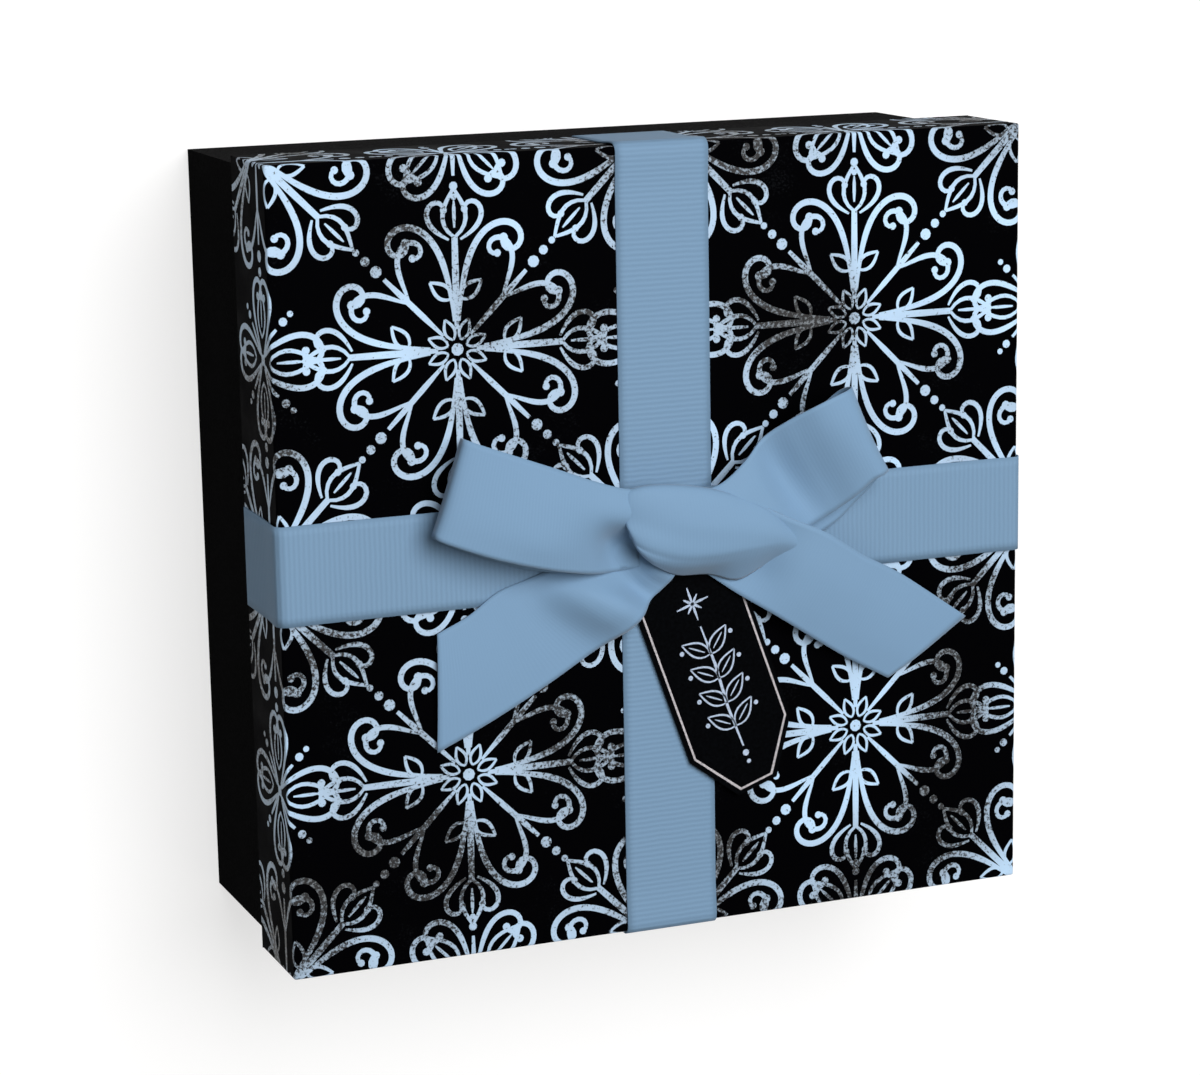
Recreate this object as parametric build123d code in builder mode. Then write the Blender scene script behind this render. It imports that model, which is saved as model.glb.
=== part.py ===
"""Square two-layer chocolate box with a lift-off lid, ribbon bands, a tied bow and a swinging card tag.

The box lies on its base with the lid up: +Z is up and the origin is the middle of the underside.
Millimetres throughout. Board boxes are built from the outside in: wrap paper, board, liner paper.
"""
from build123d import *
from math import cos, radians, sin
import os

os.makedirs("parts", exist_ok=True)

# Overall box
lid_side = 203.0
box_height = 78.0
lid_skirt_height = 28.0
board_thickness = 1.5
paper_thickness = 0.2
lid_to_base_clearance = 0.7
lid_seat_gap = 0.1
lid_liner_margin = 2.0
turn_in_depth = 15.0
turn_under_depth = 12.0
bottom_sheet_margin = 1.0
cut_overrun = 1.0

# Paper stays pressed into the outer corners of both boards
stay_leg = 18.0
stay_thickness = 0.12
stay_end_margin = 3.0

# Ribbon bands round the lid
ribbon_width = 25.0
ribbon_thickness = 0.4
ribbon_tuck = 12.0
lower_band_shift = 0.7
upper_band_shift = 1.5

# Bow, seen from above: angles run anticlockwise from +X, shifts are from the crossing of the bands
bow_shift_x = -0.7
bow_shift_y = 3.5
tag_space = 1.6
knot_height = 10.6
knot_body_radius = 12.3
knot_body_shift_x = -3.5
knot_body_shift_y = 1.0
knot_shoulder_radius = 7.0
knot_shoulder_shift_x = 7.0
knot_shoulder_shift_y = 3.5
knot_flare_radius = 3.0
knot_flare_shift_x = 27.0
knot_flare_shift_y = -6.0
knot_top_rounding = 2.5
loop_root_radius = 0.8
loop_pinch_width = 22.0
left_loop_angle = 164.5
left_loop_length = 61.6
left_loop_fold_radius = 4.8
left_loop_root_rise = 5.6
left_loop_fold_rise = 6.9
right_loop_angle = 22.5
right_loop_length = 56.9
right_loop_fold_radius = 5.2
right_loop_root_rise = 4.4
right_loop_fold_rise = 7.2
tail_root_width = 16.0
tail_spread_length = 30.0
left_tail_angle = 210.7
left_tail_long_edge = 80.1
left_tail_short_edge = 64.3
left_tail_side_shift = -0.5
left_tail_rises = (1.1, 1.8, 0.4)
right_tail_angle = -31.6
right_tail_long_edge = 88.3
right_tail_short_edge = 77.1
right_tail_side_shift = 6.0
right_tail_rises = (5.6, 3.4, 0.6)
tail_arc_shares = (0, 0.5, 1)
tail_to_loop_gap = 0.4

# Card tag, threaded on the bow's stem
tag_width = 30.0
tag_length = 79.0
tag_thickness = 0.8
tag_corner_width = 9.3
tag_corner_length = 14.0
tag_hole_diameter = 4.6
tag_hole_from_end = 7.0
tag_rest_gap = 0.3
tag_angle = -70.4
stem_diameter = 4.0

# Inside fittings
divider_thickness = 0.6
divider_end_gap = 0.2
divider_slot_clearance = 0.1
layer_pad_height = 4.0
layer_pad_margin = 0.8
layer_pad_corner_radius = 3.0
layer_pad_rounding = 1.0
tray_thickness = 0.8
tray_wall_height = 15.0
tray_to_liner_clearance = 0.5
top_pad_height = 10.0
top_pad_margin = 1.0
top_pad_headroom = 1.2
top_pad_corner_radius = 6.0
top_pad_rounding = 3.0

# Paper cups
cup_base_diameter = 31.8
cup_top_diameter = 36.5
cup_height = 16.0
cup_thickness = 0.15
cup_to_divider_gap = 0.3

# Chocolates; each headroom is the space left over a piece in its cup, up to the top of the dividers
truffle_diameter = 29.0
truffle_headroom = 2.35
truffle_foot_diameter = 16.28
square_dome_side = 25.0
square_dome_headroom = 3.35
square_dome_corner_radius = 7.0
square_dome_top_rounding = 6.0
nut_praline_diameter = 27.0
nut_praline_headroom = 1.85
nut_praline_rounding = 3.0
nut_diameter = 13.0
nut_sunk_depth = 7.0
swirl_headroom = 1.25
swirl_tier_radii = (13.6, 11.4, 8.6, 5.2)
swirl_tier_bulge = 1.6
swirl_tip_height = 2.0
hexagon_radius = 13.8
hexagon_headroom = 3.35
hexagon_top_chamfer = 3.0

# Lid, from the outside in
lid_board_side = lid_side - 2 * paper_thickness
lid_board_inside = lid_board_side - 2 * board_thickness
lid_inside = lid_board_inside - 2 * paper_thickness
lid_rim_z = box_height - lid_skirt_height
lid_board_rim_z = lid_rim_z + paper_thickness
lid_board_top_z = box_height - paper_thickness
lid_board_underside_z = lid_board_top_z - board_thickness
lid_liner_underside_z = lid_board_underside_z - paper_thickness

# Base, from the outside in and from the ground up
base_side = lid_inside - 2 * lid_to_base_clearance
base_board_side = base_side - 2 * paper_thickness
base_board_inside = base_board_side - 2 * board_thickness
base_inside = base_board_inside - 2 * paper_thickness
base_rim_z = lid_liner_underside_z - lid_seat_gap
base_wrap_bottom_z = paper_thickness
base_board_bottom_z = base_wrap_bottom_z + paper_thickness
base_board_floor_z = base_board_bottom_z + board_thickness
base_board_rim_z = base_rim_z - paper_thickness
base_floor_z = base_board_floor_z + paper_thickness

# Levels of the stack inside: two rows of dividers share what the floor, pads, tray and headroom leave
top_pad_bottom_z = lid_liner_underside_z - top_pad_headroom - top_pad_height
divider_height = (top_pad_bottom_z - base_floor_z - layer_pad_height - tray_thickness) / 2
lower_dividers_top_z = base_floor_z + divider_height
layer_pad_top_z = lower_dividers_top_z + layer_pad_height
tray_floor_z = layer_pad_top_z + tray_thickness
tray_side = base_inside - 2 * tray_to_liner_clearance
tray_inside = tray_side - 2 * tray_thickness

# Cells: as many in a row as the cups leave room for
cell_least_pitch = cup_top_diameter + 2 * cup_to_divider_gap + divider_thickness
cells_per_side = int(tray_inside // cell_least_pitch)

# Heights of the chocolates in their cups
cup_room = divider_height - cup_thickness
truffle_height = cup_room - truffle_headroom
square_dome_height = cup_room - square_dome_headroom
nut_praline_height = cup_room - nut_praline_headroom
swirl_height = cup_room - swirl_headroom
hexagon_height = cup_room - hexagon_headroom

# Levels and centre of the bow
lower_band_top_z = box_height + ribbon_thickness
upper_band_top_z = lower_band_top_z + ribbon_thickness
bow_bottom_z = upper_band_top_z + tag_space
bow_x = lower_band_shift + bow_shift_x
bow_y = upper_band_shift + bow_shift_y


def square_block(side, bottom_z, top_z, mode=Mode.ADD):
    """Upright square block about the box's middle, between two levels."""
    with Locations((0, 0, bottom_z)):
        Box(side, side, top_z - bottom_z, align=(Align.CENTER, Align.CENTER, Align.MIN), mode=mode)


def save(builder, name):
    """Label a finished piece and write its file."""
    builder.part.label = name
    export_step(builder.part, f"parts/{name}.step")


def corner_stays(name, board_side, board_bottom_z, board_top_z):
    """Four angle strips of stay paper, flush with the outside of a board's corners."""
    half = board_side / 2
    inner = half - stay_thickness
    far = half - stay_leg
    with BuildPart() as stays:
        with BuildSketch(Plane.XY.offset(board_bottom_z + stay_end_margin)):
            with PolarLocations(0, 4):
                Polygon(
                    (half, half),
                    (far, half),
                    (far, inner),
                    (inner, inner),
                    (inner, far),
                    (half, far),
                    align=None,
                )
        extrude(amount=board_top_z - board_bottom_z - 2 * stay_end_margin)
    save(stays, name)
    return stays.part


# Lid: stays, board, wrap and liner
lid_stays = corner_stays("lid_corner_stays", lid_board_side, lid_board_rim_z, lid_board_top_z)

with BuildPart() as lid_board:
    square_block(lid_board_side, lid_board_rim_z, lid_board_top_z)
    square_block(lid_board_inside, lid_rim_z, lid_board_underside_z, Mode.SUBTRACT)
    add(lid_stays, mode=Mode.SUBTRACT)
save(lid_board, "lid_board")

with BuildPart() as lid_wrap:
    square_block(lid_side, lid_rim_z, box_height)
    square_block(lid_board_side, lid_board_rim_z, lid_board_top_z, Mode.SUBTRACT)
    square_block(lid_board_inside, lid_rim_z, lid_rim_z + turn_in_depth)
    square_block(lid_inside, lid_rim_z - cut_overrun, lid_board_underside_z, Mode.SUBTRACT)
save(lid_wrap, "lid_wrap")

with BuildPart() as lid_liner:
    square_block(lid_inside - 2 * lid_liner_margin, lid_liner_underside_z, lid_board_underside_z)
save(lid_liner, "lid_liner")

# Base: stays, board, wrap, liner and the sheet that it stands on
base_stays = corner_stays("base_corner_stays", base_board_side, base_board_bottom_z, base_board_rim_z)

with BuildPart() as base_board:
    square_block(base_board_side, base_board_bottom_z, base_board_rim_z)
    square_block(base_board_inside, base_board_floor_z, base_rim_z, Mode.SUBTRACT)
    add(base_stays, mode=Mode.SUBTRACT)
save(base_board, "base_board")

with BuildPart() as base_wrap:
    square_block(base_side, base_wrap_bottom_z, base_rim_z)
    square_block(base_board_side, base_board_bottom_z, base_board_rim_z, Mode.SUBTRACT)
    square_block(base_board_inside, base_board_rim_z - turn_in_depth, base_rim_z)
    square_block(base_inside, base_board_floor_z, base_rim_z + cut_overrun, Mode.SUBTRACT)
    square_block(base_side - 2 * turn_under_depth, 0, base_board_bottom_z, Mode.SUBTRACT)
save(base_wrap, "base_wrap")

with BuildPart() as base_liner:
    square_block(base_board_inside, base_board_floor_z, base_board_rim_z - turn_in_depth)
    square_block(base_inside, base_floor_z, base_rim_z, Mode.SUBTRACT)
save(base_liner, "base_liner")

with BuildPart() as base_bottom_sheet:
    square_block(base_side - 2 * bottom_sheet_margin, 0, base_wrap_bottom_z)
save(base_bottom_sheet, "base_bottom_sheet")


def band_block(half_span, bottom_z, top_z, mode=Mode.ADD):
    """Rectangle of a band's profile, even about the box's middle."""
    with Locations((0, (bottom_z + top_z) / 2)):
        Rectangle(2 * half_span, top_z - bottom_z, mode=mode)


def band_profile():
    """Ribbon over the lid's top, down both skirts, under the rim and up inside."""
    inside = lid_inside / 2
    under_z = lid_rim_z - ribbon_thickness
    with Locations((0, (lid_rim_z + box_height) / 2)):
        RectangleRounded(
            lid_side + 2 * ribbon_thickness, lid_skirt_height + 2 * ribbon_thickness, ribbon_thickness
        )
    band_block(lid_side / 2, lid_rim_z, box_height, Mode.SUBTRACT)
    band_block(inside, under_z, under_z + ribbon_tuck)
    band_block(inside - ribbon_thickness, under_z - cut_overrun, box_height, Mode.SUBTRACT)


with BuildPart() as lower_band:
    with BuildSketch(Plane.YZ.offset(lower_band_shift)):
        band_profile()
    extrude(amount=ribbon_width / 2, both=True)
save(lower_band, "ribbon_band_lower")

with BuildPart() as upper_band:
    with BuildSketch(Plane.XZ.offset(-upper_band_shift)):
        band_profile()
        with Locations((lower_band_shift, box_height + ribbon_thickness)):
            Rectangle(ribbon_width + 4 * ribbon_thickness, 2 * ribbon_thickness)
        with Locations((lower_band_shift, box_height + ribbon_thickness / 2)):
            Rectangle(ribbon_width + 2 * ribbon_thickness, ribbon_thickness, mode=Mode.SUBTRACT)
    extrude(amount=ribbon_width / 2, both=True)
save(upper_band, "ribbon_band_upper")


def along_plane(angle, side_shift):
    """Upright plane that runs out from the bow's middle: x outwards, y up."""
    outwards = Vector(cos(radians(angle)), sin(radians(angle)), 0)
    sideways = Vector(-outwards.Y, outwards.X, 0)
    origin = Vector(bow_x, bow_y, bow_bottom_z) + sideways * side_shift
    return Plane(origin=origin, x_dir=outwards, z_dir=-sideways)


def plan_plane(angle, side_shift):
    """Level plane at the bow's underside: x outwards from the bow's middle."""
    upright = along_plane(angle, side_shift)
    return Plane(origin=upright.origin, x_dir=upright.x_dir, z_dir=(0, 0, 1))


# Knot and the stem that ties it to the bands
with BuildPart() as knot:
    with BuildSketch(Plane((bow_x, bow_y, bow_bottom_z))):
        with Locations((knot_body_shift_x, knot_body_shift_y)):
            Circle(knot_body_radius)
        with Locations((knot_shoulder_shift_x, knot_shoulder_shift_y)):
            Circle(knot_shoulder_radius)
        with Locations((knot_flare_shift_x, knot_flare_shift_y)):
            Circle(knot_flare_radius)
        make_hull()
    extrude(amount=knot_height)
    fillet(knot.faces().sort_by(Axis.Z)[-1].edges(), radius=knot_top_rounding)
save(knot, "bow_knot")

with BuildPart() as stem:
    with BuildSketch(Plane((lower_band_shift, upper_band_shift, upper_band_top_z))):
        Circle(stem_diameter / 2)
    extrude(amount=tag_space)
save(stem, "bow_stem")


def loop_outline(length, fold_radius, root_rise, fold_rise, inset):
    """Side view of a loop: straight layers from a tight root to a round fold."""
    with Locations((0, root_rise)):
        Circle(loop_root_radius - inset)
    with Locations((length - fold_radius, fold_rise)):
        Circle(fold_radius - inset)
    make_hull()


def make_loop(name, angle, length, fold_radius, root_rise, fold_rise, crossing_tail=None):
    """One loop of the bow, from the knot out to its fold and back, cut away where a tail crosses it."""
    upright = along_plane(angle, 0)
    with BuildPart() as loop:
        with BuildSketch(upright):
            loop_outline(length, fold_radius, root_rise, fold_rise, 0)
        extrude(amount=ribbon_width, both=True)
        with BuildSketch(upright):
            loop_outline(length, fold_radius, root_rise, fold_rise, ribbon_thickness)
        extrude(amount=ribbon_width + cut_overrun, both=True, mode=Mode.SUBTRACT)
        with BuildSketch(plan_plane(angle, 0)):
            Polygon(
                (0, loop_pinch_width / 2),
                (0, -loop_pinch_width / 2),
                (length, -ribbon_width / 2),
                (length, ribbon_width / 2),
                align=None,
            )
        extrude(amount=fold_rise + fold_radius + cut_overrun, mode=Mode.INTERSECT)
        add(knot.part, mode=Mode.SUBTRACT)
        if crossing_tail:
            with BuildSketch(plan_plane(*crossing_tail)):
                Polygon(
                    (0, tail_root_width / 2 + tail_to_loop_gap),
                    (0, -lid_side),
                    (lid_side, -lid_side),
                    (lid_side, ribbon_width / 2 + tail_to_loop_gap),
                    (tail_spread_length, ribbon_width / 2 + tail_to_loop_gap),
                    align=None,
                )
            extrude(amount=lid_side, mode=Mode.SUBTRACT)
    save(loop, name)


make_loop(
    "bow_left_loop",
    left_loop_angle,
    left_loop_length,
    left_loop_fold_radius,
    left_loop_root_rise,
    left_loop_fold_rise,
)
make_loop(
    "bow_right_loop",
    right_loop_angle,
    right_loop_length,
    right_loop_fold_radius,
    right_loop_root_rise,
    right_loop_fold_rise,
    (right_tail_angle, right_tail_side_shift),
)


def make_tail(name, angle, side_shift, left_edge, right_edge, rises):
    """One tail of the bow: a gently arched strip with a slanted end."""
    length = max(left_edge, right_edge)
    root, middle, end = [(share * length, rise) for share, rise in zip(tail_arc_shares, rises)]
    lift = Vector(0, ribbon_thickness)
    with BuildPart() as tail:
        with BuildSketch(along_plane(angle, side_shift)):
            with BuildLine():
                under = ThreePointArc(root, middle, end)
                over = ThreePointArc(Vector(*root) + lift, Vector(*middle) + lift, Vector(*end) + lift)
                Line(under @ 0, over @ 0)
                Line(under @ 1, over @ 1)
            make_face()
        extrude(amount=ribbon_width, both=True)
        with BuildSketch(plan_plane(angle, side_shift)):
            Polygon(
                (0, tail_root_width / 2),
                (0, -tail_root_width / 2),
                (tail_spread_length, -ribbon_width / 2),
                (right_edge, -ribbon_width / 2),
                (left_edge, ribbon_width / 2),
                (tail_spread_length, ribbon_width / 2),
                align=None,
            )
        extrude(amount=max(rises) + knot_height, mode=Mode.INTERSECT)
        add(knot.part, mode=Mode.SUBTRACT)
    save(tail, name)


make_tail(
    "bow_left_tail",
    left_tail_angle,
    left_tail_side_shift,
    left_tail_long_edge,
    left_tail_short_edge,
    left_tail_rises,
)
make_tail(
    "bow_right_tail",
    right_tail_angle,
    right_tail_side_shift,
    right_tail_long_edge,
    right_tail_short_edge,
    right_tail_rises,
)

# Card tag: a long octagon, with the hole near one end on the stem
tag_outwards = (cos(radians(tag_angle)), sin(radians(tag_angle)), 0)
tag_plane = Plane(
    origin=(lower_band_shift, upper_band_shift, upper_band_top_z + tag_rest_gap),
    x_dir=tag_outwards,
    z_dir=(0, 0, 1),
)
with BuildPart() as tag:
    with BuildSketch(tag_plane):
        top_end = -tag_hole_from_end
        foot_end = tag_length - tag_hole_from_end
        half = tag_width / 2
        end_half = half - tag_corner_width
        Polygon(
            (top_end, end_half),
            (top_end + tag_corner_length, half),
            (foot_end - tag_corner_length, half),
            (foot_end, end_half),
            (foot_end, -end_half),
            (foot_end - tag_corner_length, -half),
            (top_end + tag_corner_length, -half),
            (top_end, -end_half),
            align=None,
        )
        Circle(tag_hole_diameter / 2, mode=Mode.SUBTRACT)
    extrude(amount=tag_thickness)
save(tag, "tag")


def divider_strips(name, inside, floor_z, lengthwise):
    """Slotted card strips across a layer; the other set crosses them half-way up."""
    pitch = inside / cells_per_side
    strips = cells_per_side - 1
    strip_length = inside - 2 * divider_end_gap
    slot_width = divider_thickness + divider_slot_clearance
    slot_through = divider_thickness + 2 * cut_overrun
    slot_depth = (divider_height + divider_slot_clearance) / 2
    slot_bottom_z = floor_z + divider_height - slot_depth if lengthwise else floor_z - cut_overrun
    slot_top_z = floor_z + divider_height + cut_overrun if lengthwise else floor_z + slot_depth
    turn = 90 if lengthwise else 0
    with BuildPart() as dividers:
        with BuildSketch(Plane.XY.offset(floor_z)):
            if lengthwise:
                with GridLocations(pitch, pitch, strips, 1):
                    Rectangle(strip_length, divider_thickness, rotation=turn)
            else:
                with GridLocations(pitch, pitch, 1, strips):
                    Rectangle(strip_length, divider_thickness, rotation=turn)
        extrude(amount=divider_height)
        with BuildSketch(Plane.XY.offset(slot_bottom_z)):
            with GridLocations(pitch, pitch, strips, strips):
                Rectangle(slot_width, slot_through, rotation=turn)
        extrude(amount=slot_top_z - slot_bottom_z, mode=Mode.SUBTRACT)
    save(dividers, name)


def paper_cup():
    """Flared paper cup, standing on the level z = 0."""
    base = cup_base_diameter / 2
    top = cup_top_diameter / 2
    with BuildPart() as cup:
        with BuildSketch(Plane.XZ):
            Polygon(
                (0, 0),
                (base, 0),
                (top, cup_height),
                (top - cup_thickness, cup_height),
                (base - cup_thickness, cup_thickness),
                (0, cup_thickness),
                align=None,
            )
        revolve(axis=Axis.Z)
    return cup.part


def truffle():
    """Ball with a flat foot."""
    widest = (truffle_diameter / 2, truffle_height - truffle_diameter / 2)
    foot = (truffle_foot_diameter / 2, 0)
    with BuildPart() as piece:
        with BuildSketch(Plane.XZ):
            with BuildLine():
                Line((0, 0), foot)
                TangentArc(widest, foot, tangent=(0, -1))
                TangentArc(widest, (0, truffle_height), tangent=(0, 1))
                Line((0, truffle_height), (0, 0))
            make_face()
        revolve(axis=Axis.Z)
    return piece.part


def square_dome():
    """Square praline with rounded corners and a soft top edge."""
    with BuildPart() as piece:
        with BuildSketch():
            RectangleRounded(square_dome_side, square_dome_side, square_dome_corner_radius)
        extrude(amount=square_dome_height)
        fillet(piece.faces().sort_by(Axis.Z)[-1].edges(), radius=square_dome_top_rounding)
    return piece.part


def nut_praline():
    """Round praline with a whole nut set in its top."""
    with BuildPart() as piece:
        with BuildSketch():
            Circle(nut_praline_diameter / 2)
        extrude(amount=nut_praline_height - nut_diameter + nut_sunk_depth)
        fillet(piece.faces().sort_by(Axis.Z)[-1].edges(), radius=nut_praline_rounding)
        with Locations((0, 0, nut_praline_height - nut_diameter / 2)):
            Sphere(nut_diameter / 2)
    return piece.part


def swirl():
    """Piped swirl: shrinking round tiers under a small tip."""
    tier_height = (swirl_height - swirl_tip_height) / len(swirl_tier_radii)
    with BuildPart() as piece:
        with BuildSketch(Plane.XZ):
            with BuildLine():
                Line((0, 0), (swirl_tier_radii[0] - swirl_tier_bulge, 0))
                for tier, radius in enumerate(swirl_tier_radii):
                    bottom = tier * tier_height
                    neck = radius - swirl_tier_bulge
                    if tier:
                        Line((swirl_tier_radii[tier - 1] - swirl_tier_bulge, bottom), (neck, bottom))
                    ThreePointArc(
                        (neck, bottom),
                        (radius, bottom + tier_height / 2),
                        (neck, bottom + tier_height),
                    )
                shoulder = (swirl_tier_radii[-1] - swirl_tier_bulge, swirl_height - swirl_tip_height)
                Line(shoulder, (0, swirl_height))
                Line((0, swirl_height), (0, 0))
            make_face()
        revolve(axis=Axis.Z)
    return piece.part


def hexagon():
    """Six-sided praline with a bevelled top."""
    with BuildPart() as piece:
        with BuildSketch():
            RegularPolygon(hexagon_radius, 6)
        extrude(amount=hexagon_height)
        chamfer(piece.faces().sort_by(Axis.Z)[-1].edges(), length=hexagon_top_chamfer)
    return piece.part


def layer_of_pieces(layer, inside, floor_z):
    """Cups and five kinds of chocolate in the cells of one layer, each kind once in every full row."""
    pitch = inside / cells_per_side
    middle = (cells_per_side - 1) / 2
    cup = paper_cup()
    with BuildPart() as cups:
        with Locations(Plane.XY.offset(floor_z)):
            with GridLocations(pitch, pitch, cells_per_side, cells_per_side):
                add(cup)
    save(cups, f"{layer}_paper_cups")
    kinds = {
        "truffles": truffle,
        "square_domes": square_dome,
        "nut_pralines": nut_praline,
        "swirls": swirl,
        "hexagons": hexagon,
    }
    for number, (kind, make) in enumerate(kinds.items()):
        places = [
            ((column - middle) * pitch, (row - middle) * pitch, floor_z + cup_thickness)
            for row in range(cells_per_side)
            for column in range(cells_per_side)
            if (column - 2 * row) % len(kinds) == number
        ]
        piece = make()
        with BuildPart() as pieces:
            with Locations(*places):
                add(piece)
        save(pieces, f"{layer}_{kind}")


# Lower layer, straight on the lined floor of the base
divider_strips("lower_dividers_lengthwise", base_inside, base_floor_z, True)
divider_strips("lower_dividers_crosswise", base_inside, base_floor_z, False)
layer_of_pieces("lower", base_inside, base_floor_z)


def cushion_pad(name, margin, corner_radius, rounding, bottom_z, height):
    """Soft pad over a layer: a flat cushion with rounded rims."""
    side = base_inside - 2 * margin
    with BuildPart() as pad:
        with BuildSketch(Plane.XY.offset(bottom_z)):
            RectangleRounded(side, side, corner_radius)
        extrude(amount=height)
        levels = pad.edges().group_by(Axis.Z)
        fillet(levels[0] + levels[-1], radius=rounding)
    save(pad, name)


cushion_pad(
    "layer_pad",
    layer_pad_margin,
    layer_pad_corner_radius,
    layer_pad_rounding,
    lower_dividers_top_z,
    layer_pad_height,
)

# Upper layer, in its own card tray
with BuildPart() as upper_tray:
    square_block(tray_side, layer_pad_top_z, layer_pad_top_z + tray_wall_height)
    square_block(tray_inside, tray_floor_z, layer_pad_top_z + tray_wall_height, Mode.SUBTRACT)
save(upper_tray, "upper_tray")

divider_strips("upper_dividers_lengthwise", tray_inside, tray_floor_z, True)
divider_strips("upper_dividers_crosswise", tray_inside, tray_floor_z, False)
layer_of_pieces("upper", tray_inside, tray_floor_z)

cushion_pad(
    "top_pad",
    top_pad_margin,
    top_pad_corner_radius,
    top_pad_rounding,
    top_pad_bottom_z,
    top_pad_height,
)
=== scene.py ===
"""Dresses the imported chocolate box: printed lid, ribbon, bow, tag, cups, chocolates and pads.

Metres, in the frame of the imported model. Drawn shapes are written in millimetres and scaled by MM.
"""
import bpy
import bmesh
from math import cos, exp, hypot, pi, radians, sin, sqrt
from mathutils import Matrix, Vector
from mathutils.geometry import delaunay_2d_cdt


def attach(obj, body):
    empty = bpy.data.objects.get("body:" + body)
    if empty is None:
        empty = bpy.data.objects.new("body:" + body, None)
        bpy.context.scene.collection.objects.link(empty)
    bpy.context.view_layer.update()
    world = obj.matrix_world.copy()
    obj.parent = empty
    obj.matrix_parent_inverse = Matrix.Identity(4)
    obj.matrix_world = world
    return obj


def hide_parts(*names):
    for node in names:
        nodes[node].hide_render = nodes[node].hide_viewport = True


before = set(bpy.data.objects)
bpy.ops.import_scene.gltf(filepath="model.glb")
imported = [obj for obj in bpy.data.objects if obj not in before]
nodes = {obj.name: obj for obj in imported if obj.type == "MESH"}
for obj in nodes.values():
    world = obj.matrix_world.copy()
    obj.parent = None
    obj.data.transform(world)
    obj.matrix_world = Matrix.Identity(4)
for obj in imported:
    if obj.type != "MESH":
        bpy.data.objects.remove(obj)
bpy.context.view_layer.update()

MM = 0.001

# Box, as in the CAD source, in mm
LID_SIDE = 203.0
LID_TOP = 78.0
SKIRT = 28.0
LID_INSIDE = 199.2
TURN_IN = 15.0
EDGE_ROUND = 0.6
BAND_WIDTH = 25.0
BAND_THICK = 0.4
LOWER_BAND_X = 0.7
UPPER_BAND_Y = 1.5
TAG_TOP = 79.9
TAG_LENGTH = 79.0
TAG_WIDTH = 30.0
TAG_CORNER_LENGTH = 14.0
TAG_CORNER_WIDTH = 9.3
TAG_HOLE_FROM_END = 7.0
TAG_ANGLE = -70.4
PAPER_CUP_FLOOR = 0.15

# The two layers of chocolates: where the cups stand, how far apart, and on which body
LAYERS = {"lower": (2.1, 38.8, "base"), "upper": (35.9, 38.28, "upper_tray")}

# Ornament: spacing of its lattice in mm, and how thin its strokes are drawn
LATTICE = 54.0
STROKE_SHARE = 0.86
CURL_END_SHARE = 0.61

# How far the bands stand off where they bend over the lid's edges, and how far from there, in mm
SPRING = 0.5
SPRING_REACH = 10.0

# Strengths of the even light around the object and of the floor's own glow
AMBIENT = 0.155
FLOOR_GLOW = 0.66


def new_object(name, data):
    """An object of the scene with this data."""
    made = bpy.data.objects.new(name, data)
    bpy.context.scene.collection.objects.link(made)
    return made


# Photograph's camera, fitted to the box's corners in the 1200 x 1075 frame

def add_camera():
    data = bpy.data.cameras.new("camera")
    data.sensor_fit = "HORIZONTAL"
    data.sensor_width = 36.0
    data.lens = 101.74
    data.clip_start = 0.05
    data.clip_end = 50.0
    camera = new_object("camera", data)
    look = Vector((0.36306, -0.20763, -0.90834)).normalized()
    up = Vector((0.09401, 0.97804, -0.18599))
    side = look.cross(up).normalized()
    up = side.cross(look)
    turn = Matrix((side, up, -look)).transposed()
    camera.matrix_world = Matrix.Translation((-0.3274, 0.1807, 0.8537)) @ turn.to_4x4()
    bpy.context.scene.camera = camera


def add_lamp(name, place, size, power):
    """A round soft lamp that shines at the box."""
    data = bpy.data.lights.new(name, "AREA")
    data.shape = "DISK"
    data.size = size
    data.energy = power
    lamp = new_object(name, data)
    lamp.location = place
    lamp.rotation_mode = "QUATERNION"
    lamp.rotation_quaternion = (Vector((0, 0, 0.05)) - Vector(place)).to_track_quat("-Z", "Y")


def add_world():
    """Warm even light on the object. The camera sees white."""
    world = bpy.data.worlds.new("studio")
    world.use_nodes = True
    tree = world.node_tree
    tree.nodes.clear()
    lit = tree.nodes.new("ShaderNodeBackground")
    lit.inputs["Color"].default_value = (1.0, 0.93, 0.83, 1)
    lit.inputs["Strength"].default_value = AMBIENT
    seen = tree.nodes.new("ShaderNodeBackground")
    seen.inputs["Color"].default_value = (1, 1, 1, 1)
    path = tree.nodes.new("ShaderNodeLightPath")
    pick = tree.nodes.new("ShaderNodeMixShader")
    out = tree.nodes.new("ShaderNodeOutputWorld")
    link = tree.links.new
    link(path.outputs["Is Camera Ray"], pick.inputs["Fac"])
    link(lit.outputs["Background"], pick.inputs[1])
    link(seen.outputs["Background"], pick.inputs[2])
    link(pick.outputs["Shader"], out.inputs["Surface"])
    bpy.context.scene.world = world


# Materials

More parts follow.
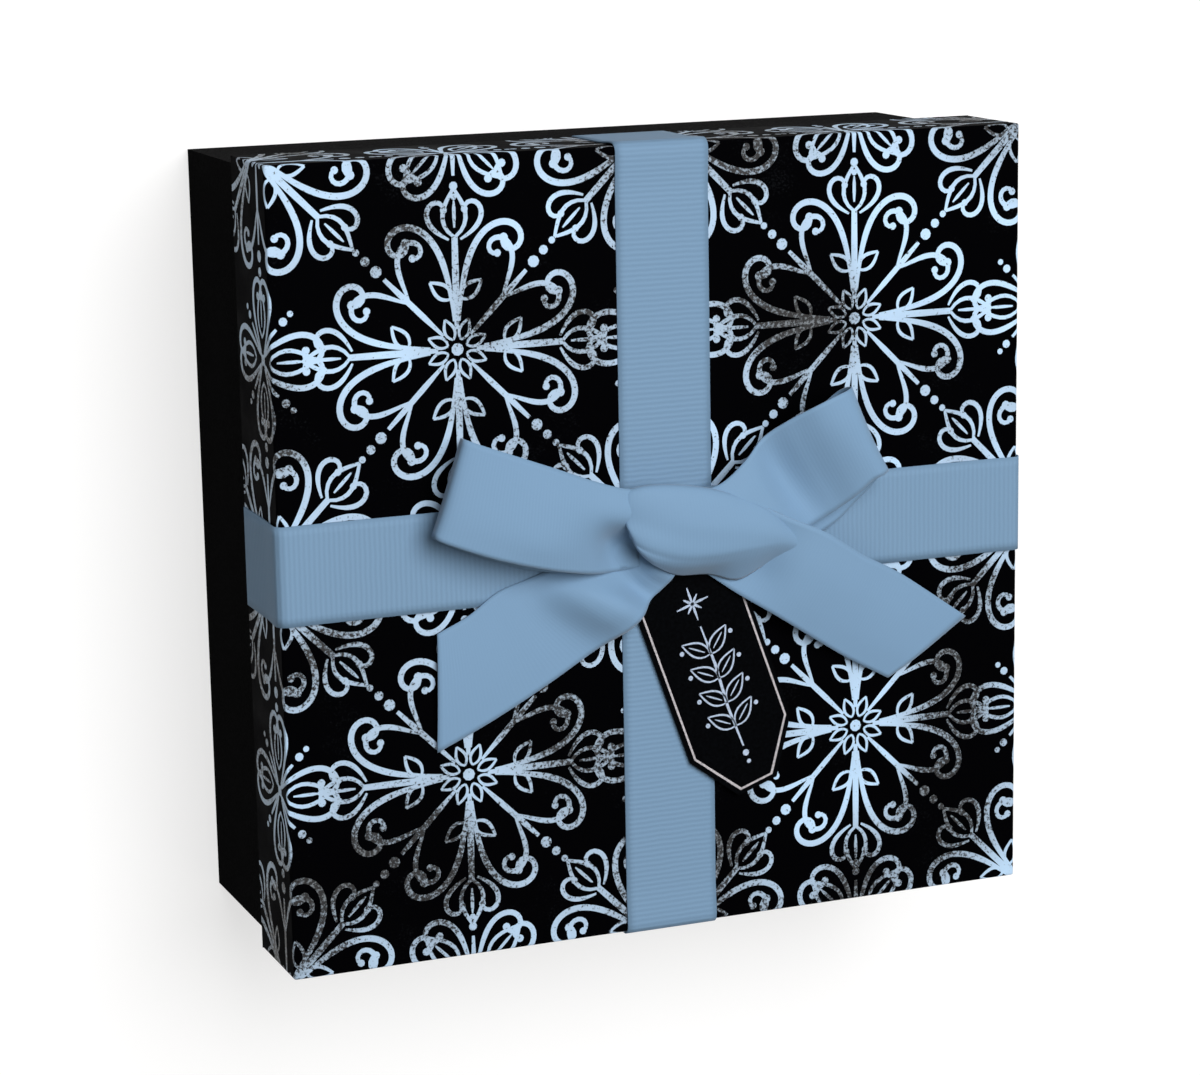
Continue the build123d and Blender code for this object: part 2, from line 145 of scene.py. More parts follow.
class Paint:
    """A Principled material with helpers that add nodes to it. Constants go on the shader's own sockets."""

    def __init__(self, name, colour, roughness, **sockets):
        self.material = bpy.data.materials.new(name)
        self.material.use_nodes = True
        self.nodes = self.material.node_tree.nodes
        self.link = self.material.node_tree.links.new
        self.shader = self.nodes["Principled BSDF"]
        self.fill(self.shader, Base_Color=colour, Roughness=roughness, **sockets)
        self.place = self.nodes.new("ShaderNodeTexCoord").outputs["Object"]

    def feed(self, socket, value):
        """A number, a colour or another node's output goes into a socket."""
        if isinstance(value, bpy.types.NodeSocket):
            self.link(value, socket)
        elif isinstance(value, tuple) and len(value) < len(socket.default_value):
            socket.default_value = (*value, 1)
        else:
            socket.default_value = value

    def fill(self, node, **values):
        """Values go into the sockets of these names, written with _ for a space."""
        for name, value in values.items():
            self.feed(node.inputs[name.replace("_", " ")], value)
        return node

    def add(self, kind, **values):
        return self.fill(self.nodes.new("ShaderNode" + kind), **values)

    def stretched(self, scale, source=None):
        return self.add("Mapping", Scale=scale, Vector=source or self.place).outputs["Vector"]

    def noise(self, scale, detail=3.0, roughness=0.55, source=None):
        place = source or self.place
        node = self.add("TexNoise", Scale=scale, Detail=detail, Roughness=roughness, Vector=place)
        return node.outputs["Fac"]

    def ramp(self, value, *stops):
        """The value turned into a grey or a colour, between stops of (value, grey or colour)."""
        node = self.add("ValToRGB", Fac=value)
        bar = node.color_ramp.elements
        while len(bar) < len(stops):
            bar.new(0.5)
        for element, (at, colour) in zip(bar, stops):
            element.position = at
            element.color = (*colour, 1) if isinstance(colour, tuple) else (colour, colour, colour, 1)
        return node.outputs["Color"]

    def math(self, operation, *values):
        node = self.add("Math")
        node.operation = operation
        for socket, value in zip(node.inputs, values):
            self.feed(socket, value)
        return node.outputs["Value"]

    def plus(self, first, second):
        return self.math("ADD", first, second)

    def times(self, first, second):
        return self.math("MULTIPLY", first, second)

    def mix(self, factor, first, second):
        node = self.add("Mix")
        node.data_type = "RGBA"
        for index, value in ((0, factor), (6, first), (7, second)):
            self.feed(node.inputs[index], value)
        return node.outputs[2]

    def colour(self, value):
        self.fill(self.shader, Base_Color=value)

    def rough(self, value):
        self.fill(self.shader, Roughness=value)

    def bump(self, height, distance, strength):
        node = self.add("Bump", Strength=strength, Distance=distance, Height=height)
        self.fill(self.shader, Normal=node.outputs["Normal"])


def black_print_paper():
    """Uncoated black wrap of the lid, with a little paper grain and grey rubbed spots."""
    paint = Paint("lid_black_paper", (0.003, 0.003, 0.004), 0.62, Specular_IOR_Level=0.004)
    grain = paint.noise(1900, 2)
    patch = paint.noise(60, 4, 0.6)
    rubbed = paint.ramp(paint.times(grain, patch), (0.36, 0.0), (0.48, 1.0))
    paint.colour(paint.mix(rubbed, (0.0007, 0.0007, 0.0011), (0.005, 0.0055, 0.0065)))
    paint.rough(paint.ramp(patch, (0.3, 0.5), (0.7, 0.72)))
    paint.bump(grain, 0.00004, 0.5)
    return paint.material


def pale_ink():
    """Pale blue ink of the ornament, worn to grey specks in patches."""
    paint = Paint("lid_pale_ink", (0.45, 0.62, 0.8), 0.5, Specular_IOR_Level=0.35)
    speck = paint.noise(1050, 4, 0.7)
    patch = paint.noise(22, 2, 0.5)
    worn = paint.ramp(patch, (0.46, 0.0), (0.62, 1.0))
    holes = paint.ramp(paint.plus(speck, paint.times(worn, 0.2)), (0.6, 0.0), (0.7, 1.0))
    full, faded, bare = (0.46, 0.65, 0.86), (0.36, 0.48, 0.62), (0.17, 0.19, 0.21)
    tone = paint.ramp(patch, (0.35, full), (0.5, faded), (0.68, bare))
    paint.colour(paint.mix(holes, tone, (0.012, 0.012, 0.013)))
    paint.bump(speck, 0.00004, 0.4)
    return paint.material


def plain_black_paper():
    """Plain black wrap of the base, as smooth as book cloth paper."""
    paint = Paint("base_black_paper", (0.0008, 0.0008, 0.001), 0.62, Specular_IOR_Level=0.001)
    grain = paint.noise(1500, 3)
    patch = paint.noise(35, 3)
    paint.colour(paint.ramp(patch, (0.3, (0.0003, 0.0003, 0.0004)), (0.75, (0.001, 0.001, 0.0012))))
    paint.rough(paint.ramp(grain, (0.3, 0.48), (0.7, 0.62)))
    paint.bump(grain, 0.00005, 0.6)
    return paint.material


def grosgrain(name, colour, rib_pitch, relief, rib_shade_depth, sheen, selvedge):
    """Ribbed ribbon: ribs run across it, with painted shade in the grooves between them and painted light on
    their crests. Selvedge is how far its firm edges lie flat.
    """
    paint = Paint(name, colour, 0.7, Specular_IOR_Level=0.15, Sheen_Weight=sheen, Sheen_Roughness=0.45)
    map_node = paint.add("UVMap")
    map_node.uv_map = "cloth"
    cloth = map_node.outputs["UV"]
    place = paint.add("SeparateXYZ", Vector=cloth)
    half = BAND_WIDTH / 2 * MM
    wobble = paint.times(paint.noise(220, 1, 0.5, cloth), rib_pitch * 0.3)
    turns = paint.times(paint.plus(place.outputs["Y"], wobble), 2 * pi / rib_pitch)
    rib = paint.plus(paint.times(paint.math("SINE", turns), 0.5), 0.5)
    thread = paint.noise(1.0, 2, 0.6, paint.stretched((3200, 1 / rib_pitch, 1), cloth))
    edge = paint.math("ABSOLUTE", paint.math("SUBTRACT", place.outputs["X"], half))
    inner = paint.ramp(paint.math("DIVIDE", edge, half), (0.91, 1.0), (0.95, 1 - selvedge))
    height = paint.plus(paint.times(rib, inner), paint.times(thread, 0.35))
    # Painted shade and light: the colour is darkened in the grooves between ribs and lightened on their
    # crests, following the rib height that also drives the bump
    dark = tuple(c * (1 - rib_shade_depth) for c in colour)
    light = tuple(min(1, c * (1 + rib_shade_depth * 0.6)) for c in colour)
    painted_rib_shade = paint.ramp(paint.times(height, 0.8), (0.15, dark), (0.85, light))
    drift = paint.noise(40, 2, 0.5)
    paint.colour(paint.mix(paint.times(drift, 0.25), painted_rib_shade, light))
    paint.bump(height, relief, 0.8)
    return paint.material


def tag_paper():
    """Black card face of the tag."""
    paint = Paint("tag_black_card", (0.002, 0.0025, 0.003), 0.5, Specular_IOR_Level=0.01)
    grain = paint.noise(1200, 3)
    paint.colour(paint.ramp(grain, (0.3, (0.0006, 0.0007, 0.001)), (0.8, (0.002, 0.0024, 0.0032))))
    paint.bump(grain, 0.00003, 0.5)
    return paint.material


def tag_ink(name, worn, full):
    """Pale ink printed on the tag."""
    paint = Paint(name, full, 0.5, Specular_IOR_Level=0.3)
    speck = paint.noise(1600, 2)
    paint.colour(paint.ramp(speck, (0.3, worn), (0.6, full)))
    return paint.material


def fibre_card(name, dark, light, roughness, scale=700, relief=0.00006):
    """Card, board or paper with mottled fibres."""
    paint = Paint(name, light, roughness, Specular_IOR_Level=0.3)
    fibre = paint.noise(scale, 5, 0.65)
    cloud = paint.noise(scale / 25, 3)
    tone = paint.plus(paint.times(fibre, 0.6), paint.times(cloud, 0.4))
    paint.colour(paint.ramp(tone, (0.35, dark), (0.65, light)))
    paint.bump(fibre, relief, 0.7)
    return paint.material


def cup_paper():
    """Dark brown glassine of the cups."""
    paint = Paint("cup_brown_glassine", (0.045, 0.018, 0.009), 0.38, Specular_IOR_Level=0.45)
    fibre = paint.noise(900, 4)
    paint.colour(paint.ramp(fibre, (0.3, (0.03, 0.011, 0.006)), (0.75, (0.07, 0.03, 0.016))))
    paint.rough(paint.ramp(fibre, (0.3, 0.3), (0.8, 0.46)))
    paint.bump(fibre, 0.00005, 0.5)
    return paint.material


def chocolate(name, dark, light, roughness, coat):
    """Tempered chocolate with faint bloom and soft unevenness."""
    paint = Paint(name, light, roughness, Specular_IOR_Level=0.5, Coat_Weight=coat, Coat_Roughness=0.25,
                  Subsurface_Weight=0.05, Subsurface_Scale=0.002)
    cloud = paint.noise(120, 4)
    fine = paint.noise(900, 2)
    paint.colour(paint.ramp(cloud, (0.3, dark), (0.7, light)))
    paint.rough(paint.ramp(paint.times(cloud, fine), (0.15, roughness), (0.45, min(1, roughness + 0.2))))
    paint.bump(paint.plus(cloud, paint.times(fine, 0.3)), 0.00025, 0.5)
    return paint.material


def cocoa_dust():
    """Loose cocoa powder on the truffles."""
    paint = Paint("cocoa_powder", (0.09, 0.035, 0.015), 0.95, Specular_IOR_Level=0.1, Sheen_Weight=0.3)
    crumb = paint.noise(1500, 5, 0.7)
    clump = paint.noise(260, 3)
    tone = paint.plus(paint.times(crumb, 0.55), paint.times(clump, 0.45))
    paint.colour(paint.ramp(tone, (0.35, (0.05, 0.018, 0.008)), (0.65, (0.16, 0.068, 0.03))))
    paint.bump(tone, 0.0006, 0.8)
    return paint.material


def hazelnut():
    """Skin of a roasted nut, streaked from top to bottom."""
    paint = Paint("roasted_nut", (0.35, 0.16, 0.06), 0.5, Specular_IOR_Level=0.4)
    streak = paint.noise(300, 4, 0.6, paint.stretched((1, 1, 0.25)))
    paint.colour(paint.ramp(streak, (0.35, (0.2, 0.075, 0.025)), (0.65, (0.5, 0.27, 0.12))))
    paint.bump(streak, 0.0003, 0.6)
    return paint.material


MATERIALS = {}


def make_materials():
    MATERIALS.update(
        print_black=black_print_paper(),
        print_ink=pale_ink(),
        base_black=plain_black_paper(),
        band=grosgrain("ribbon_band", (0.162, 0.270, 0.401), 0.0013, 0.00007, 0.055, 0.02, 0.7),
        bow=grosgrain("ribbon_bow", (0.171, 0.291, 0.441), 0.0009, 0.00001, 0.008, 0.2, 0.0),
        tag=tag_paper(),
        tag_frame=tag_ink("tag_frame_ink", (0.28, 0.27, 0.29), (0.49, 0.46, 0.48)),
        tag_sprig=tag_ink("tag_sprig_ink", (0.27, 0.33, 0.42), (0.43, 0.52, 0.68)),
        greyboard=fibre_card("greyboard_fibre", (0.2, 0.19, 0.17), (0.42, 0.4, 0.37), 0.9),
        liner=fibre_card("liner_white", (0.62, 0.61, 0.58), (0.8, 0.79, 0.77), 0.8, 900, 0.00003),
        stay=fibre_card("stay_kraft", (0.3, 0.19, 0.1), (0.47, 0.33, 0.2), 0.85),
        divider=fibre_card("divider_brown_card", (0.05, 0.024, 0.014), (0.1, 0.052, 0.032), 0.6),
        tray=fibre_card("tray_brown_card", (0.045, 0.021, 0.012), (0.09, 0.045, 0.028), 0.55),
        pad=fibre_card("pad_brown_glassine", (0.04, 0.017, 0.009), (0.085, 0.04, 0.022), 0.42, 500, 0.0001),
        cup=cup_paper(),
        cocoa=cocoa_dust(),
        dark=chocolate("chocolate_dark", (0.02, 0.0075, 0.0035), (0.045, 0.018, 0.009), 0.3, 0.3),
        milk=chocolate("chocolate_milk", (0.095, 0.038, 0.016), (0.15, 0.065, 0.03), 0.34, 0.25),
        white=chocolate("chocolate_white", (0.62, 0.48, 0.29), (0.74, 0.62, 0.43), 0.36, 0.2),
        nut=hazelnut(),
    )


# Mesh helpers

def mesh_object(name, points, faces, materials, body, stands_for=(), uvs=None, face_materials=None,
                smooth=True):
    """An object from points in mm, riding on a body and standing for CAD nodes."""
    mesh = bpy.data.meshes.new(name)
    mesh.from_pydata([(x * MM, y * MM, z * MM) for x, y, z in points], [], faces)
    for material in materials:
        mesh.materials.append(MATERIALS[material])
    if face_materials:
        mesh.polygons.foreach_set("material_index", face_materials)
    if uvs:
        layer = mesh.uv_layers.new(name="cloth")
        for loop in mesh.loops:
            layer.data[loop.index].uv = uvs[loop.vertex_index]
    mesh.polygons.foreach_set("use_smooth", [smooth] * len(mesh.polygons))
    mesh.update()
    made = new_object(name, mesh)
    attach(made, body)
    if stands_for:
        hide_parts(*stands_for)
    return made


def smooth_by_angle(made, degrees):
    """Flat shading stays across edges sharper than the angle."""
    work = bmesh.new()
    work.from_mesh(made.data)
    for edge in work.edges:
        edge.smooth = len(edge.link_faces) == 2 and edge.calc_face_angle(0) < radians(degrees)
    work.to_mesh(made.data)
    work.free()


def weld(made, distance):
    """Points closer than the distance, in metres, become one, and points without a face go."""
    work = bmesh.new()
    work.from_mesh(made.data)
    bmesh.ops.remove_doubles(work, verts=work.verts, dist=distance)
    bmesh.ops.delete(work, geom=[v for v in work.verts if not v.link_faces], context="VERTS")
    work.to_mesh(made.data)
    work.free()


def walls(rings, sides, first=0):
    """Faces between rings of points with the same number of sides, from the point numbered first."""
    faces = []
    for k in range(rings - 1):
        for i in range(sides):
            low, high = first + k * sides, first + (k + 1) * sides
            j = (i + 1) % sides
            faces.append((low + i, low + j, high + j, high + i))
    return faces


def catmull(points, share):
    """A point on the smooth curve through the points; share runs from 0 to 1."""
    last = len(points) - 1
    at = min(share * last, last - 1e-6)
    i = int(at)
    t = at - i
    p1, p2 = points[i], points[i + 1]
    p0 = points[i - 1] if i else tuple(2 * a - b for a, b in zip(p1, p2))
    p3 = points[i + 2] if i + 2 <= last else tuple(2 * b - a for a, b in zip(p1, p2))
    return tuple(
        0.5 * (2 * b + (c - a) * t + (2 * a - 5 * b + 4 * c - d) * t * t + (3 * b - a - 3 * c + d) * t ** 3)
        for a, b, c, d in zip(p0, p1, p2, p3)
    )


def fine_grid(control, rows, columns):
    """A dense grid through a coarse one: a list of rows, each a list of points across the ribbon."""
    across = [[catmull(row, j / columns) for j in range(columns + 1)] for row in control]
    return [
        [catmull([row[j] for row in across], i / rows) for j in range(columns + 1)]
        for i in range(rows + 1)
    ]


def ribbon(name, grid, material, node):
    """A ribbon of real thickness along a grid of its middle surface, with its length in the cloth map."""
    rows, columns = len(grid), len(grid[0])
    middle = [[Vector(p) for p in row] for row in grid]
    runs = [0.0]
    for row, last in zip(middle[1:], middle):
        runs.append(runs[-1] + sum((a - b).length for a, b in zip(row, last)) / columns)
    points, uvs = [], []
    for side in (1, -1):
        for i in range(rows):
            for j in range(columns):
                along = middle[min(i + 1, rows - 1)][j] - middle[max(i - 1, 0)][j]
                over = middle[i][min(j + 1, columns - 1)] - middle[i][max(j - 1, 0)]
                normal = over.cross(along).normalized()
                points.append(tuple(middle[i][j] + normal * (side * BAND_THICK / 2)))
                uvs.append((j / (columns - 1) * BAND_WIDTH * MM, runs[i] * MM))
    faces = []
    sheet = rows * columns
    for i in range(rows - 1):
        for j in range(columns - 1):
            a = i * columns + j
            quad = (a, a + 1, a + columns + 1, a + columns)
            faces.append(quad)
            faces.append(tuple(v + sheet for v in reversed(quad)))
    rim = list(range(columns))
    rim += [i * columns + columns - 1 for i in range(1, rows)]
    rim += [(rows - 1) * columns + j for j in range(columns - 2, -1, -1)]
    rim += [i * columns for i in range(rows - 2, 0, -1)]
    for a, b in zip(rim, rim[1:] + rim[:1]):
        faces.append((b, a, a + sheet, b + sheet))
    made = mesh_object(name, points, faces, [material], "lid", (node,), uvs)


# Lid's ornament, drawn flat in mm: scrolls, leaves, stars and dots on a square lattice

def stroke(points, width, start=0.45, end=0.8):
    """The outline of a brush stroke along points, narrowed at its ends."""
    left, right = [], []
    last = len(points) - 1
    for i, (x, y) in enumerate(points):
        xa, ya = points[max(i - 1, 0)]
        xb, yb = points[min(i + 1, last)]
        share = i / last
        if share < 0.5:
            narrow = start + (1 - start) * min(1, 3 * share)
        else:
            narrow = end + (1 - end) * min(1, 3 * (1 - share))
        half = STROKE_SHARE / 2 * width * narrow / hypot(xb - xa, yb - ya)
        left.append((x - (yb - ya) * half, y + (xb - xa) * half))
        right.append((x + (yb - ya) * half, y - (xb - xa) * half))
    return left + right[::-1]


def dot(centre, radius):
    """A small round dot, drawn with nine sides."""
    turns = [2 * pi * i / 9 for i in range(9)]
    return [(centre[0] + radius * cos(a), centre[1] + radius * sin(a)) for a in turns]


def curl(start, heading, length, bend_from, bend_to, width, power):
    """A scroll whose bend, in radians per mm, grows from one end to the other, with a dot at its end."""
    x, y = start
    angle = radians(heading)
    count = max(5, round(length))
    points = [(x, y)]
    for i in range(count):
        share = (i + 0.5) / count
        angle += (bend_from + (bend_to - bend_from) * share ** power) * length / count
        x += cos(angle) * length / count
        y += sin(angle) * length / count
        points.append((x, y))
    return [stroke(points, width), dot(points[-1], width * CURL_END_SHARE)]


def leaf(base, heading, length, bulge, width, vein=True):
    """An outlined leaf: two bowed strokes and a vein."""
    a = radians(heading)

    def place(share, out=0):
        run = length * share
        return (base[0] + cos(a) * run - sin(a) * out, base[1] + sin(a) * run + cos(a) * out)

    found = []
    for side in (1, -1):
        points = [place(i / 8, bulge * side * sin(pi * (i / 8) ** 0.8)) for i in range(9)]
        found.append(stroke(points, width, 0.7, 0.7))
    if vein:
        found.append(stroke([place(share) for share in (0.2, 0.4, 0.6, 0.75)], width * 0.8, 0.5, 0.4))
    return found


def turned(shapes, angle, centre=(0, 0), mirror=False):
    """Shapes mirrored over the X axis if asked, then turned and moved to the centre."""
    a = radians(angle)
    flip = -1 if mirror else 1
    right, up = centre
    return [
        [(right + x * cos(a) - y * flip * sin(a), up + x * sin(a) + y * flip * cos(a)) for x, y in shape]
        for shape in shapes
    ]


def medallion():
    """Eight arms by turns: four with long curls, a pair of leaves and a bud, four with curls and dots."""
    half_arm = curl((7, 0.6), 4, 44, 0.012, 0.55, 1.9, 3.0)
    half_arm += curl((27, 1.5), 62, 16, -0.02, -0.62, 1.5, 1.6)
    half_arm += leaf((12.5, 1.2), 52, 7.0, 1.7, 1.1, False)
    main = [stroke([(5, 0), (12, 0), (20, 0), (28, 0)], 2.0, 0.6, 0.9)] + leaf((27.5, 0), 0, 12, 3.0, 1.3)
    side = [stroke([(5, 0), (12, 0), (20, 0), (26, 0)], 1.7, 0.5, 0.7)]
    side += [dot((28.8, 0), 1.5), dot((32.6, 0), 1.2), dot((35.8, 0), 0.9)]
    half_side = curl((17, 0), 30, 24, -0.03, 0.66, 1.6, 1.9)
    found = [dot((0, 0), 1.6)]
    for i in range(4):
        found += turned(main, 90 * i) + turned(side, 45 + 90 * i)
        for mirror in (False, True):
            found += turned(half_arm, 90 * i, mirror=mirror) + turned(half_side, 45 + 90 * i, mirror=mirror)
    for i in range(8):
        found += turned(leaf((2.6, 0), 0, 5.5, 1.3, 0.9, False), 22.5 + 45 * i)
    return found


def rosette():
    """Four leaves between pairs of curls."""
    found = [dot((0, 0), 1.4)]
    for i in range(4):
        for mirror in (False, True):
            found += turned(curl((2.2, 0.5), 14, 29, 0.0, 0.62, 1.7, 2.2), 90 * i, mirror=mirror)
        found += turned([stroke([(1, 0), (6, 0), (11.5, 0)], 1.5, 0.8, 0.6)], 90 * i)
        found += turned([dot((14, 0), 1.1), dot((16.6, 0), 0.8)], 90 * i)
        found += turned(leaf((5.5, 0), 0, 12.5, 2.9, 1.2), 45 + 90 * i)
    return found


def ornament():
    """Medallions and rosettes by turns on a square lattice that covers the lid's face and skirts."""
    found = []
    for i in range(-2, 3):
        for j in range(-2, 3):
            motif = rosette() if (i + j) % 2 else medallion()
            found += turned(motif, 0 if i % 2 else 45, (LATTICE * i, LATTICE * j))
    return found


def folded(u, v):
    """A point of the flat wrap, folded over the lid's rounded edges. The flat wrap's middle is the lid's."""
    half = LID_SIDE / 2
    x, y, z = u, v, LID_TOP
    if abs(u) > half:
        x, z = (half if u > 0 else -half), LID_TOP - (abs(u) - half)
    if abs(v) > half:
        y, z = (half if v > 0 else -half), LID_TOP - (abs(v) - half)
    flat = half - EDGE_ROUND
    core = Vector((max(-flat, min(flat, x)), max(-flat, min(flat, y)), min(LID_TOP - EDGE_ROUND, z)))
    out = Vector((x, y, z)) - core
    return tuple(core + out.normalized() * EDGE_ROUND)


def counterclockwise(shape):
    """The outline in the order that the cutting needs."""
    area = sum(a[0] * b[1] - b[0] * a[1] for a, b in zip(shape, shape[1:] + shape[:1]))
    return shape if area > 0 else shape[::-1]


def print_tile(shapes, low_u, low_v, high_u, high_v, lines):
    """Triangles of one tile of the flat wrap, cut along the shapes' outlines, and which are inked."""
    points, edges, faces = [], [], []
    for shape in shapes:
        faces.append(list(range(len(points), len(points) + len(shape))))
        points += [Vector(p) for p in shape]
    corners = [(low_u, low_v), (high_u, low_v), (high_u, high_v), (low_u, high_v)]
    sides = list(zip(corners, corners[1:] + corners[:1]))
    sides += [((at, low_v), (at, high_v)) for at in lines if low_u < at < high_u]
    sides += [((low_u, at), (high_u, at)) for at in lines if low_v < at < high_v]
    for a, b in sides:
        points += [Vector(a), Vector(b)]
        edges.append((len(points) - 2, len(points) - 1))
    flat, _, cut, _, _, origin = delaunay_2d_cdt(points, edges, faces, 0, 1e-5)
    return flat, [(tuple(face), bool(covers)) for face, covers in zip(cut, origin)]


def lid_wrap():
    """The printed wrap: a flat net cut along the ornament's outlines, folded over the lid."""
    half, rim, tile = LID_SIDE / 2, LID_TOP - SKIRT, LATTICE / 2
    reach = half + SKIRT
    shapes = []
    for shape in ornament():
        us, vs = [p[0] for p in shape], [p[1] for p in shape]
        shapes.append((counterclockwise(shape), min(us), min(vs), max(us), max(vs)))
    bends = (-EDGE_ROUND, -EDGE_ROUND / 2, 0, EDGE_ROUND / 2, EDGE_ROUND)
    lines = [side * (half + bend) for side in (1, -1) for bend in bends]
    lows = [-reach] + [tile * i for i in range(-4, 5)]
    highs = lows[1:] + [reach]
    solid, shown, inks = [], [], []
    for low_u, high_u in zip(lows, highs):
        for low_v, high_v in zip(lows, highs):
            if min(abs(low_u), abs(high_u)) >= half and min(abs(low_v), abs(high_v)) >= half:
                continue
            near = [s for s, a, b, c, d in shapes if a < high_u and c > low_u and b < high_v and d > low_v]
            flat, cut = print_tile(near, low_u, low_v, high_u, high_v, lines)
            first = len(solid)
            solid += [folded(p[0], p[1]) for p in flat]
            for corners, inked in cut:
                u = sum(flat[c][0] for c in corners) / 3
                v = sum(flat[c][1] for c in corners) / 3
                inside = low_u < u < high_u and low_v < v < high_v
                if inside and (abs(u) < half or abs(v) < half):
                    shown.append(tuple(first + c for c in corners))
                    inks.append(1 if inked else 0)
    first = len(solid)
    inner = LID_INSIDE / 2
    for out, z in ((half, rim), (inner, rim), (inner, rim + TURN_IN)):
        solid += [(out, out, z), (-out, out, z), (-out, -out, z), (out, -out, z)]
    turn_in = walls(3, 4, first)
    made = mesh_object("lid_wrap_printed", solid, shown + turn_in, ["print_black", "print_ink"], "lid",
                       ("lid_wrap",), face_materials=inks + [0] * len(turn_in))
    weld(made, 0.00001)


# Ribbon bands

def spring(run):
    """How far the stiff ribbon stands off the lid, in mm, this far from its bend over the lid's edge."""
    near = max(0.0, 1 - run / SPRING_REACH)
    return SPRING * near * near * (3 - 2 * near)


def band(name, node, axis, shift, lift):
    """One band: over the lid, down both skirts, round the rim and up inside."""
    top = LID_TOP + BAND_THICK / 2 + lift
    out = LID_SIDE / 2 + BAND_THICK / 2
    rim = LID_TOP - SKIRT - BAND_THICK / 2
    inner = LID_INSIDE / 2 - BAND_THICK / 2
    tuck, bend, fold = 12.0, 2.4, 0.6
    skirt_steps, top_steps, columns = 30, 160, 10
    high = top + SPRING - bend
    side = out + SPRING - bend
    thirds = [radians(30 * i) for i in range(4)]
    sixths = [radians(15 * i) for i in range(1, 7)]
    path = [(-inner, rim + tuck), (-inner, rim + fold)]
    path += [(-inner - fold * (1 - cos(a)), rim + fold - fold * sin(a)) for a in thirds[1:]]
    path += [(-out + fold - fold * sin(a), rim + fold - fold * cos(a)) for a in thirds]
    heights = [rim + fold + (high - rim - fold) * i / skirt_steps for i in range(1, skirt_steps + 1)]
    path += [(-out - spring(high - z), z) for z in heights]
    path += [(-side - bend * cos(a), high + bend * sin(a)) for a in sixths]
    places = [-side + 2 * side * i / top_steps for i in range(1, top_steps)]
    across_top = [(x, top + spring(side - abs(x))) for x in places]
    path = path + across_top + [(-x, z) for x, z in reversed(path)]
    grid = []
    for along, z in path:
        across = [(j / columns - 0.5) * BAND_WIDTH for j in range(columns + 1)]
        if axis == "Y":
            grid.append([(shift - w, along, z) for w in across])
        else:
            grid.append([(along, shift + w, z) for w in across])
    ribbon(name, grid, "band", node)


# Bow: each stretch of ribbon is a smooth sheet through rows of points across it, heights above the lid's top

def lifted(rows):
    return [[(x, y, LID_TOP + h) for x, y, h in row] for row in rows]


def bow_piece(name, node, rows, steps):
    """A loop or tail, through its rows in this many steps."""
    ribbon(name, fine_grid(lifted(rows), steps, 20), "bow", node)


def left_loop():
    """The loop on the left: out over the lid, round its end and back under itself."""
    rows = [
        [(-8, 16.5, 9.6), (-8.5, 9, 10), (-8.5, 2, 3.6), (-8, -4.4, 3.4)],
        [(-15, 17.6, 10.4), (-15.6, 10, 11.2), (-15.8, 3, 3.8), (-14.5, -4.9, 3.4)],
        [(-23.1, 20.3, 11.2), (-24, 12.5, 12.2), (-24.4, 4.5, 10.2), (-23.5, -3.8, 8)],
        [(-33.5, 24.5, 12.2), (-35, 15.2, 13.4), (-36, 6, 13.4), (-36, -0.8, 11.6)],
        [(-45, 29, 12.6), (-47, 19.6, 13.2), (-48.5, 10.5, 13.4), (-50, 3.4, 12.4)],
        [(-55.4, 33, 11.6), (-58, 24.4, 11.8), (-60.6, 15.6, 11.8), (-62.9, 8.5, 11.2)],
        [(-56.2, 33.2, 8), (-59, 25, 8), (-61.8, 16.8, 8), (-64.4, 9.8, 8)],
        [(-54.4, 32.4, 4.6), (-57.1, 23.8, 4.6), (-59.8, 15.2, 4.5), (-62.4, 7.8, 4.6)],
        [(-46, 28.6, 3.2), (-48.6, 19.4, 3.2), (-50.6, 10.6, 3.2), (-52.6, 3, 3.2)],
        [(-32, 22.4, 3), (-34, 13.6, 3), (-35.5, 5, 3), (-36.5, -2.6, 3.2)],
        [(-20, 17.6, 3), (-20, 10, 3), (-20, 3, 3), (-20, -4.6, 3.2)],
        [(-6, 14, 3), (-6, 8, 3), (-6, 2, 3), (-6, -4, 3)],
    ]
    bow_piece("bow_loop_left", "bow_left_loop", rows, 120)


